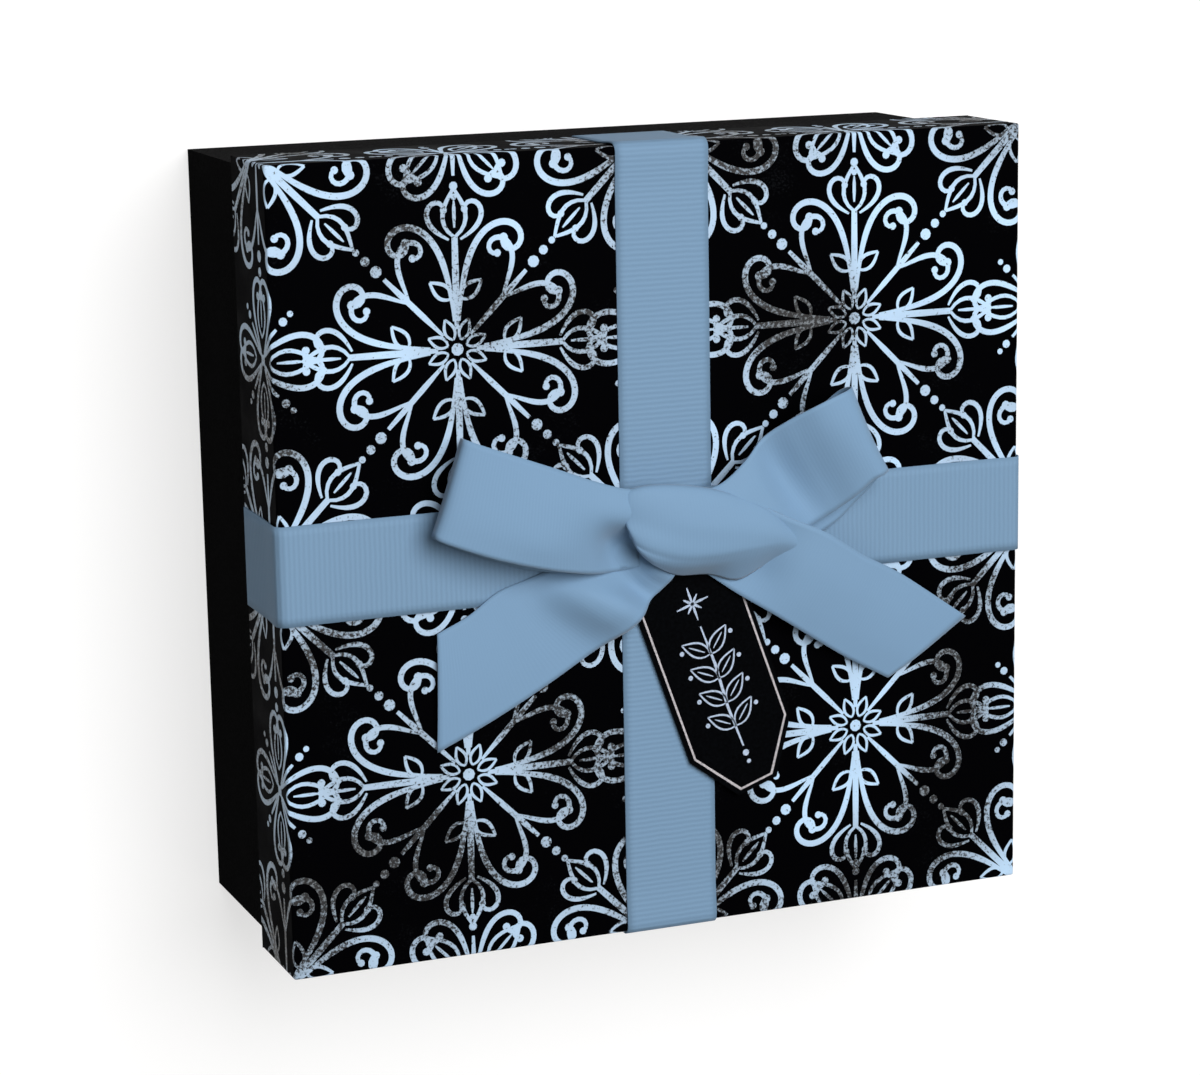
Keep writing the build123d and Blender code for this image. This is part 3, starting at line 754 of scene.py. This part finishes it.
def right_loop():
    """The loop on the right, with a hollow across its top."""
    rows = [
        [(4, 14.5, 8), (6.5, 9, 9), (9, 3, 8.6), (11, -3, 7.4)],
        [(11.4, 16, 9.4), (14.4, 10.6, 10.8), (17.4, 5, 10.4), (20, -1, 8.8)],
        [(18.6, 21.2, 9.2), (22.4, 14.6, 9.6), (27, 7.4, 9.4), (32, 0.6, 8.8)],
        [(24.6, 26.6, 7.4), (28.6, 19.2, 5.4), (33.8, 11.4, 5), (40, 3.2, 6.2)],
        [(30.4, 31, 10.4), (34.4, 23.2, 9), (39.6, 15, 7.8), (45.4, 6.4, 7.6)],
        [(36.2, 34.5, 13.7), (40, 27, 12.9), (44.8, 18.8, 11.6), (50, 10.6, 10.6)],
        [(41.6, 36.8, 14.3), (44.8, 29.2, 14.1), (48.8, 21.4, 13.2), (53.2, 13.8, 12)],
        [(45.6, 37.9, 13.2), (49, 30.2, 13.2), (52.6, 22.4, 12.6), (56.3, 15, 12)],
        [(47.8, 38.2, 10.4), (51.4, 30.4, 9.4), (55, 22.6, 9.4), (58.6, 15.6, 10)],
        [(46.4, 36.4, 5.6), (50.4, 28.4, 5), (54.4, 20.4, 5), (58.6, 13.6, 5.6)],
        [(40, 30.5, 3.4), (44.6, 22, 3.3), (48.8, 14.4, 3.3), (53.6, 7.8, 3.4)],
        [(30, 22.5, 3), (35, 14, 3), (40, 6.8, 3), (44.6, 0.6, 3)],
        [(16, 14.5, 3), (20, 7.4, 3), (24, 0.4, 3), (28, -6.4, 3)],
        [(2, 9, 3), (6, 3, 3), (10, -3, 3), (13, -9, 3)],
    ]
    bow_piece("bow_loop_right", "bow_right_loop", rows, 130)


def left_tail():
    """The tail that falls to the lower left, with a raised fold near the knot and a slanted end."""
    rows = [
        [(-5, 6, 3), (-2.6, 2.4, 5), (0, -0.8, 6.4), (2.6, -3.8, 5.4)],
        [(-11, 4.2, 2.4), (-8, -0.8, 3), (-4.4, -4.8, 5.8), (0.2, -7.6, 5.4)],
        [(-14.5, 3.1, 2.2), (-10.4, -3, 2.7), (-6.6, -7.4, 3.6), (-2, -10.6, 3.6)],
        [(-18, 2, 2), (-13.4, -5.4, 2.7), (-9.4, -10, 2.6), (-5, -13.4, 3)],
        [(-27, -1.4, 1.6), (-21.5, -7.6, 6.4), (-14.8, -12.2, 7.8), (-8.6, -16.6, 6.5)],
        [(-33.5, -3.8, 1.5), (-27.2, -9.2, 6.2), (-19.4, -15, 7.6), (-12.4, -19.8, 6.2)],
        [(-39.5, -5.6, 1.4), (-34, -12.8, 2.4), (-27, -19, 2.5), (-19.9, -24.9, 2.3)],
        [(-46, -7.8, 1.4), (-41.4, -16.6, 1.8), (-36.8, -24.9, 1.9), (-32.2, -32.2, 1.7)],
        [(-53.5, -12.8, 1.4), (-51.4, -22.2, 1.9), (-49.4, -31.6, 1.9), (-47.4, -40.2, 1.4)],
        [(-61.8, -16.6, 1.3), (-62.1, -26.6, 1.8), (-62.4, -36.8, 1.8), (-62.6, -47, 1.2)],
    ]
    bow_piece("bow_tail_left", "bow_left_tail", rows, 80)


def right_tail():
    """The tail that runs to the lower right and falls to the lid."""
    rows = [
        [(14, 12, 8.8), (11, 5, 6.4), (8, -1, 4.6), (5, -4.6, 4.2)],
        [(22, 10, 10), (18, 3, 7), (14.5, -4, 3.7), (10.6, -8.2, 3.2)],
        [(30.7, 5.7, 10.2), (27, -1, 7.4), (23.5, -8, 4), (19, -14.2, 3.4)],
        [(41.6, 0.7, 9), (37, -7, 8.6), (33, -14.5, 7.2), (29.5, -21, 5.6)],
        [(53.3, -6.8, 6.6), (48.6, -14.8, 7), (44.4, -22, 6), (40.6, -28.4, 4.4)],
        [(65, -13.2, 4.2), (59.8, -21.5, 4.8), (55.4, -29, 4.2), (50.6, -34.8, 2.9)],
        [(85.7, -27.4, 1.4), (78, -32.2, 2), (70.4, -37, 2.2), (62.8, -41.7, 1.3)],
    ]
    bow_piece("bow_tail_right", "bow_right_tail", rows, 72)


def knot_fold(across, along):
    """How far the knot's surface dips, in mm, in the shallow folds that fan out from its left."""
    fading = max(0, 1 - 1.15 * along)
    dip = 0.0
    for start, slope, depth, width in ((0.36, 0.3, 0.9, 0.09), (0.66, 0.1, 0.35, 0.05)):
        off = (across - start - slope * along) / width
        dip += depth * exp(-off * off) * fading
    return dip


def knot():
    """The wrapped middle of the bow, where the loops and tails come together."""
    rows = [
        [(-14.4, 15.4, 8.4), (-15.2, 14, 9.4), (-14.6, 9, 10.4), (-13.4, 5.8, 10.2), (-12.1, 3.2, 9.9),
         (-10.9, 1.2, 9.4)],
        [(-13, 15.6, 6.4), (-13.4, 16.4, 10.5), (-13.8, 9.5, 11.7), (-12.2, 4.2, 11.6), (-10.6, 1, 11),
         (-8.9, -1, 9.6)],
        [(-8, 15, 4.2), (-8, 17.4, 11.2), (-8, 9, 13.1), (-7.6, 2.4, 12.7), (-6.4, -1.4, 11.2),
         (-5.4, -3.6, 9)],
        [(0, 14.2, 4.2), (0, 16.8, 11.4), (0.5, 8, 13.8), (0.8, 0.4, 13), (1, -3.6, 10.4), (1.4, -6.9, 5.8)],
        [(9, 12.8, 4.8), (9, 15, 11.2), (10, 7, 13.4), (10.4, 0.2, 12.8), (10.4, -3.8, 10),
         (10.4, -7.8, 4.7)],
        [(16.6, 11, 7.6), (17.2, 12, 10.6), (19, 6, 12.4), (19.6, 0.8, 12.2), (19.6, -3, 10.1),
         (18.6, -10.2, 4)],
        [(22.6, 8.2, 9), (23.8, 8.6, 10.4), (26.6, 4.2, 11), (27.8, 0.8, 10.8), (28, -2, 9.3),
         (26.6, -6.6, 5)],
        [(28.4, 5, 8.2), (29.8, 4.6, 8.8), (33, 1.2, 8.7), (34.4, -1, 8.4), (35, -2.8, 7.8),
         (34.6, -4.8, 6.6)],
    ]
    columns, steps = 50, 72
    grid = fine_grid(lifted(rows), steps, columns)
    for i, row in enumerate(grid):
        for j, (x, y, z) in enumerate(row):
            row[j] = (x, y, z - knot_fold(j / columns, i / steps))
    ribbon("bow_knot_wrap", grid, "bow", "bow_knot")


# Tag

def tag_point(along, across, level):
    """A point of the tag, from its own length and width. Its hole is where the bands cross."""
    a = radians(TAG_ANGLE)
    x = LOWER_BAND_X + along * cos(a) - across * sin(a)
    y = UPPER_BAND_Y + along * sin(a) + across * cos(a)
    return (x, y, level)


def tag_outline(inset):
    """The card's outline from its hole, with cut corners, moved inwards by inset."""
    start, end = -TAG_HOLE_FROM_END + inset, TAG_LENGTH - TAG_HOLE_FROM_END - inset
    half = TAG_WIDTH / 2 - inset
    along, across = TAG_CORNER_LENGTH - inset * 0.6, half - (TAG_CORNER_WIDTH - inset * 0.25)
    upper = [(start, across), (start + along, half), (end - along, half), (end, across)]
    return upper + [(x, -y) for x, y in reversed(upper)]


def tag_sprig():
    """A sprig of leaves with a star over it, drawn along the tag from its middle, in mm."""
    found = [stroke([(-20, 0), (-8, 0.4), (4, -0.3), (15, 0)], 0.9, 0.6, 0.5)]
    for at in (-14, -7, 0, 7):
        for side in (1, -1):
            found += leaf((at, 0), 180 - side * 130, 8.5, 1.9, 0.6)
            found.append(dot((at + 3.4, side * 7.2), 0.65))
    found += [dot((-22, 0), 0.9), dot((-24.5, 0), 0.6)]
    for i in range(8):
        long = 4.6 if i % 2 == 0 else 2.8
        found += turned([stroke([(0, 0), (long / 2, 0), (long, 0)], 0.8, 0.7, 0.4)], 45 * i, (21.5, 0))
    return found


def tag():
    """The pale frame line and sprig that are printed on the card."""
    ink, sprig_middle = 0.03, 40
    line_outside, line_inside = 1.15, 1.7
    low, high = TAG_TOP - ink, TAG_TOP + ink
    points = []
    for inset, level in ((line_outside, low), (line_outside, high), (line_inside, high), (line_inside, low)):
        points += [tag_point(along, across, level) for along, across in tag_outline(inset)]
    faces = walls(4, 8)
    inks = [0] * len(faces)
    for shape in tag_sprig():
        faces.append(tuple(range(len(points), len(points) + len(shape))))
        points += [tag_point(sprig_middle - x, -y, high) for x, y in counterclockwise(shape)]
        inks.append(1)
    line = mesh_object("tag_printed_frame", points, faces, ["tag_frame", "tag_sprig"], "tag",
                       face_materials=inks, smooth=False)


# Inside pieces

def dress_nodes():
    """Better materials for the CAD nodes that keep their own shape."""
    kept = {
        "greyboard": ["base_board", "lid_board"],
        "liner": ["base_liner", "lid_liner"],
        "stay": ["base_corner_stays", "lid_corner_stays"],
        "base_black": ["base_wrap", "base_bottom_sheet"],
        "divider": [f"{layer}_dividers_{way}" for layer in LAYERS for way in ("lengthwise", "crosswise")],
        "tray": ["upper_tray"],
        "bow": ["bow_stem"],
        "tag": ["tag"],
    }
    for material, dressed in kept.items():
        for node in dressed:
            slots = nodes[node].data.materials
            slots.clear()
            slots.append(MATERIALS[material])


class Shape:
    """Points and faces in mm, with a material number for each face."""

    def __init__(self):
        self.points, self.faces, self.paints = [], [], []

    def add(self, points, faces, paint=0):
        first = len(self.points)
        self.points += points
        self.faces += [tuple(first + v for v in face) for face in faces]
        self.paints += [paint] * len(faces)

    def revolve(self, profile, sides, radius, paint=0):
        """A closed turned form from (radius, height) points, the radius changed by radius(a, r, z)."""
        points = []
        for r, z in profile:
            for i in range(sides):
                a = 2 * pi * i / sides
                out = radius(a, r, z)
                points.append((out * cos(a), out * sin(a), z))
        top = (len(profile) - 1) * sides
        ends = [tuple(range(sides - 1, -1, -1)), tuple(range(top, top + sides))]
        self.add(points, walls(len(profile), sides) + ends, paint)

    def tube(self, line, radius, paint):
        """A round bead of icing along a line."""
        points = []
        sides, last = 6, len(line) - 1
        for i, p in enumerate(line):
            ahead = Vector(line[min(i + 1, last)]) - Vector(line[max(i - 1, 0)])
            side = ahead.cross(Vector((0, 0, 1))).normalized()
            up = side.cross(ahead).normalized()
            thin = radius * (0.55 if i in (0, last) else 1)
            for k in range(sides):
                a = 2 * pi * k / sides
                points.append(tuple(Vector(p) + side * (thin * cos(a)) + up * (thin * sin(a))))
        top = last * sides
        ends = [tuple(range(sides)), tuple(range(top + sides - 1, top - 1, -1))]
        self.add(points, walls(len(line), sides) + ends, paint)


def arc(centre, radius, start, end, steps):
    """Points of an arc in the (radius, height) plane, angles in degrees from +radius."""
    turns = [radians(start + (end - start) * i / steps) for i in range(steps + 1)]
    return [(centre[0] + radius * cos(a), centre[1] + radius * sin(a)) for a in turns]


def truffle():
    """A hand-rolled ball with a flat foot, a little lumpy."""
    shape = Shape()
    wide, tall = 14.5, 26.5
    foot, top, steps = 56, 89, 24
    sunk = sin(radians(foot))
    profile = []
    for i in range(steps + 1):
        a = radians(-foot + (top + foot) * i / steps)
        profile.append((wide * cos(a), (sin(a) + sunk) / (1 + sunk) * tall))

    def lumpy(a, r, z):
        lumps = 0.014 * sin(3 * a + 0.4 * z) + 0.01 * sin(7 * a - 0.5 * z) - 0.012 * cos(5 * a + 0.23 * z)
        return r * (1 + lumps)

    shape.revolve(profile, 48, lumpy)
    return shape


def square_dome():
    """A rounded square with five wavy lines of pale icing over its top."""
    shape = Shape()
    half, tall, top = 12.5, 25.5, 6.0
    reach, spacing, steps, bead = 9.4, 2.8, 14, 0.55
    profile = [(half - 0.6, 0.0), (half, 0.7), (half, tall - top)]
    profile += arc((half - top, tall - top), top, 12, 84, 6)
    profile += [(half - top - 1.5, tall - 0.02), (2.5, tall), (0.4, tall)]

    def squared(a, r, z):
        corner = (abs(cos(a)) ** 5 + abs(sin(a)) ** 5) ** -0.2
        return r * (1 + (corner - 1) * min(1, r / 9))

    shape.revolve(profile, 72, squared)
    for row in range(5):
        line = []
        for i in range(steps + 1):
            x = -reach + 2 * reach * i / steps
            y = spacing * (row - 2) + 1.5 * sin(0.35 * x + row)
            far = max(0, (abs(x) ** 4 + abs(y) ** 4) ** 0.25 - (half - top))
            line.append((x, y, tall - top + sqrt(max(0.1, top * top - far * far)) + 0.1))
        shape.tube(line, bead, 1)
    return shape


def nut_praline():
    """A short turned cup of milk chocolate with a whole nut sunk in its top."""
    shape = Shape()
    half, tall, turn = 13.5, 21.0, 3.0
    nut, nut_middle = 6.5, 20.5
    profile = [(half - 0.5, 0.0), (half, 0.6), (half, tall - turn)]
    profile += arc((half - turn, tall - turn), turn, 15, 90, 6)
    profile += [(8.2, tall - 0.1), (7.2, tall - 0.9), (5.6, tall - 1.5), (0.3, tall - 1.6)]

    def fluted(a, r, z):
        return r * (1 - 0.022 * (0.5 + 0.5 * cos(18 * a)) * (1 if 1 < z < tall - turn + 0.5 else 0))

    def ridged(a, r, z):
        return r * (1 + 0.012 * cos(9 * a))

    shape.revolve(profile, 108, fluted)
    profile = []
    for i in range(17):
        a = radians(-88 + 176 * i / 16)
        profile.append((nut * cos(a) * (1 - 0.12 * max(0, sin(a)) ** 3), nut_middle + nut * sin(a)))
    shape.revolve(profile, 40, ridged, 1)
    return shape


def swirl():
    """A piped rosette: four ribbed tiers, each turned on the last, and a drawn-out tip."""
    shape = Shape()
    widths = (13.6, 11.4, 8.6, 5.2)
    levels = (0.0, 7.0, 13.6, 19.6, 24.6)
    lobe = 1.9
    profile = [(12.2, 0.0)]
    for wide, low, high in zip(widths, levels, levels[1:]):
        for i in range(1, 8):
            a = radians(-80 + 160 * i / 8)
            profile.append((wide - lobe + lobe * cos(a), low + (high - low) * i / 8))
    profile += [(2.6, 25.4), (1.5, 26.4), (0.7, 27.2), (0.2, 27.6)]

    def ribbed(a, r, z):
        return r * (1 - 0.085 * (0.5 - 0.5 * cos(9 * (a + 0.075 * z))))

    shape.revolve(profile, 108, ribbed)
    return shape


def hexagon():
    """A six-sided moulded piece with a chamfered top and a sunk ring."""
    shape = Shape()
    wide, tall, chamfer, softened = 13.8, 25.5, 3.0, 0.05
    low, narrow = tall - chamfer, wide - chamfer
    profile = [(wide - 0.6, 0.0), (wide, 0.8), (wide, low - 0.3), (wide - 0.3, low + 0.2),
               (narrow + 0.2, tall - 0.25), (narrow - 0.3, tall), (8.2, tall), (7.8, tall - 0.7),
               (6.9, tall - 0.7), (6.5, tall), (0.2, tall)]

    def six_sided(a, r, z):
        off = abs((a + pi / 6) % (pi / 3) - pi / 6)
        edge = cos(pi / 6) / cos(pi / 6 - off)
        return r * (edge if off > softened else edge * (1 - 0.012 * (1 - off / softened)))

    shape.revolve(profile, 72, six_sided)
    return shape


def paper_cup():
    """A pleated cup: thirty-six pleats, deeper towards the rim, and a paper's thickness."""
    shape = Shape()
    pleats, sides, rings = 36, 144, 6
    base, rim, tall, paper = 15.9, 18.25, 16.0, 0.2
    for inset, start in ((0.0, 0.0), (paper, PAPER_CUP_FLOOR)):
        points = []
        for k in range(rings):
            share = k / (rings - 1)
            deep = 0.12 + 0.75 * share
            for i in range(sides):
                a = 2 * pi * i / sides
                fold = abs(2 * ((pleats * i / sides) % 1) - 1)
                r = base + (rim - base) * share - deep * fold - inset
                z = start + (tall - start) * share + 0.25 * share * sin(5 * a)
                points.append((r * cos(a), r * sin(a), z))
        faces = walls(rings, sides) + [tuple(range(sides - 1, -1, -1))]
        shape.add(points, [face[::-1] for face in faces] if inset else faces)
    outer = (rings - 1) * sides
    inner = outer + rings * sides
    rims = [(outer + i, outer + (i + 1) % sides, inner + (i + 1) % sides, inner + i) for i in range(sides)]
    shape.faces += rims
    shape.paints += [0] * len(rims)
    return shape


def repeated(name, shape, places, materials, body, node, turn):
    """One object with a copy of the shape at each place, each turned a little more, in radians."""
    points, faces, paints = [], [], []
    for number, (x, y, z) in enumerate(places):
        a = turn * number
        first = len(points)
        points += [(x + p * cos(a) - q * sin(a), y + p * sin(a) + q * cos(a), z + r)
                   for p, q, r in shape.points]
        faces += [tuple(first + v for v in face) for face in shape.faces]
        paints += shape.paints
    made = mesh_object(name, points, faces, materials, body, (node,), face_materials=paints)
    smooth_by_angle(made, 40)


def fill_layers():
    """Cups in all twenty-five cells of both layers, and the five kinds of chocolate in diagonal order."""
    kinds = (
        ("truffles", truffle(), ["cocoa"], "cocoa_dusted", 0.9),
        ("square_domes", square_dome(), ["dark", "white"], "dark_chocolate", 0.0),
        ("nut_pralines", nut_praline(), ["milk", "nut"], "milk_chocolate", 0.5),
        ("swirls", swirl(), ["white"], "white_chocolate", 0.7),
        ("hexagons", hexagon(), ["milk"], "milk_chocolate", 0.0),
    )
    cup = paper_cup()
    for layer, (floor, pitch, body) in LAYERS.items():
        cells = [(row, column) for row in range(5) for column in range(5)]
        spot = {(row, column): ((column - 2) * pitch, (row - 2) * pitch) for row, column in cells}
        repeated(f"{layer}_pleated_cups", cup, [(*spot[c], floor) for c in cells], ["cup"], body,
                 f"{layer}_paper_cups", 0.31)
        for number, (kind, shape, materials, slot, turn) in enumerate(kinds):
            places = [(*spot[c], floor + PAPER_CUP_FLOOR) for c in cells if (c[1] - 2 * c[0]) % 5 == number]
            node = f"{layer}_{kind}"
            repeated(f"{node}_detailed", shape, places, materials, body, node, turn)


def cushion(name, node, side, low, high, diamonds, pinch, corner):
    """A square pad, crowned and quilted on both faces, with this many diamonds from side to side."""
    cells, quilt = 96, side / diamonds
    rising, stitch, pulled_in = 0.07, 2.2, 0.012
    stations = [-1, -0.998, -0.992] + [2 * i / cells - 1 for i in range(1, cells)] + [0.992, 0.998, 1]
    count = len(stations)
    middle, half_tall = (low + high) / 2, (high - low) / 2
    points, faces = [], []
    for face in (1, -1):
        for u in stations:
            for v in stations:
                far = max(abs(u), abs(v))
                rise = min(1, (1 - far) / rising) ** 0.5
                x, y = u * side / 2, v * side / 2
                lines = min(abs(sin(pi * (x + y) / quilt)), abs(sin(pi * (x - y) / quilt)))
                tall = half_tall * rise * (1 - pinch * (1 - min(1, stitch * lines)) ** 2)
                pull = 1 - pulled_in * (1 - (u * v) ** 2) * far ** 8
                round_off = 1 - corner * (abs(u * v)) ** 12
                points.append((x * pull * round_off, y * pull * round_off, middle + face * tall))
    for i in range(count - 1):
        for j in range(count - 1):
            a = i * count + j
            quad = (a, a + count, a + count + 1, a + 1)
            tall = [points[v][2] for v in quad]
            falls = tall[0] + tall[2] < tall[1] + tall[3]
            for split in ((0, 1, 2), (0, 2, 3)) if falls else ((0, 1, 3), (1, 2, 3)):
                corners = tuple(quad[k] for k in split)
                faces.append(corners)
                faces.append(tuple(v + count ** 2 for v in reversed(corners)))
    made = mesh_object(name, points, faces, ["pad"], node, (node,))
    weld(made, 0.00002)


def pads():
    cushion("layer_pad_embossed", "layer_pad", 192.4, 31.1, 35.1, 16, 0.35, 0.01)
    cushion("top_pad_quilted", "top_pad", 192.0, 64.9, 74.9, 8, 0.4, 0.02)


def add_floor():
    """A white floor that keeps the shadow. To bounced light it is grey, so that the skirts stay darker."""
    far = 6.0
    mesh = bpy.data.meshes.new("floor")
    mesh.from_pydata([(-far, -far, 0), (far, -far, 0), (far, far, 0), (-far, far, 0)], [], [(0, 1, 2, 3)])
    paint = Paint("floor_white", (0.9, 0.9, 0.9), 0.9, Specular_IOR_Level=0.0, Emission_Color=(1, 1, 1))
    path = paint.add("LightPath").outputs
    seen = paint.math("MAXIMUM", path["Is Camera Ray"], path["Is Glossy Ray"])
    seen = paint.math("MAXIMUM", seen, path["Is Transmission Ray"])
    fleck = paint.ramp(paint.noise(3, 2), (0.2, 0.36), (0.8, 0.375))
    paint.colour(paint.mix(seen, (0.4, 0.4, 0.4), fleck))
    paint.fill(paint.shader, Emission_Strength=paint.times(seen, FLOOR_GLOW))
    mesh.materials.append(paint.material)
    floor = new_object("floor", mesh)
    floor.location.z = -0.0002


add_camera()
add_lamp("key", (0.13, 0.57, 1.45), 1.15, 28.1)
add_lamp("fill", (-0.9, -0.5, 1.3), 1.2, 1.0)
add_lamp("side", (1.1, -1.1, 0.7), 0.9, 1.5)
add_world()
bpy.context.scene.view_settings.view_transform = "Standard"
make_materials()
add_floor()
dress_nodes()
lid_wrap()
band("band_lengthwise", "ribbon_band_lower", "Y", LOWER_BAND_X, 0.0)
band("band_crosswise", "ribbon_band_upper", "X", UPPER_BAND_Y, BAND_THICK)
left_tail()
left_loop()
right_loop()
right_tail()
knot()
tag()
fill_layers()
pads()
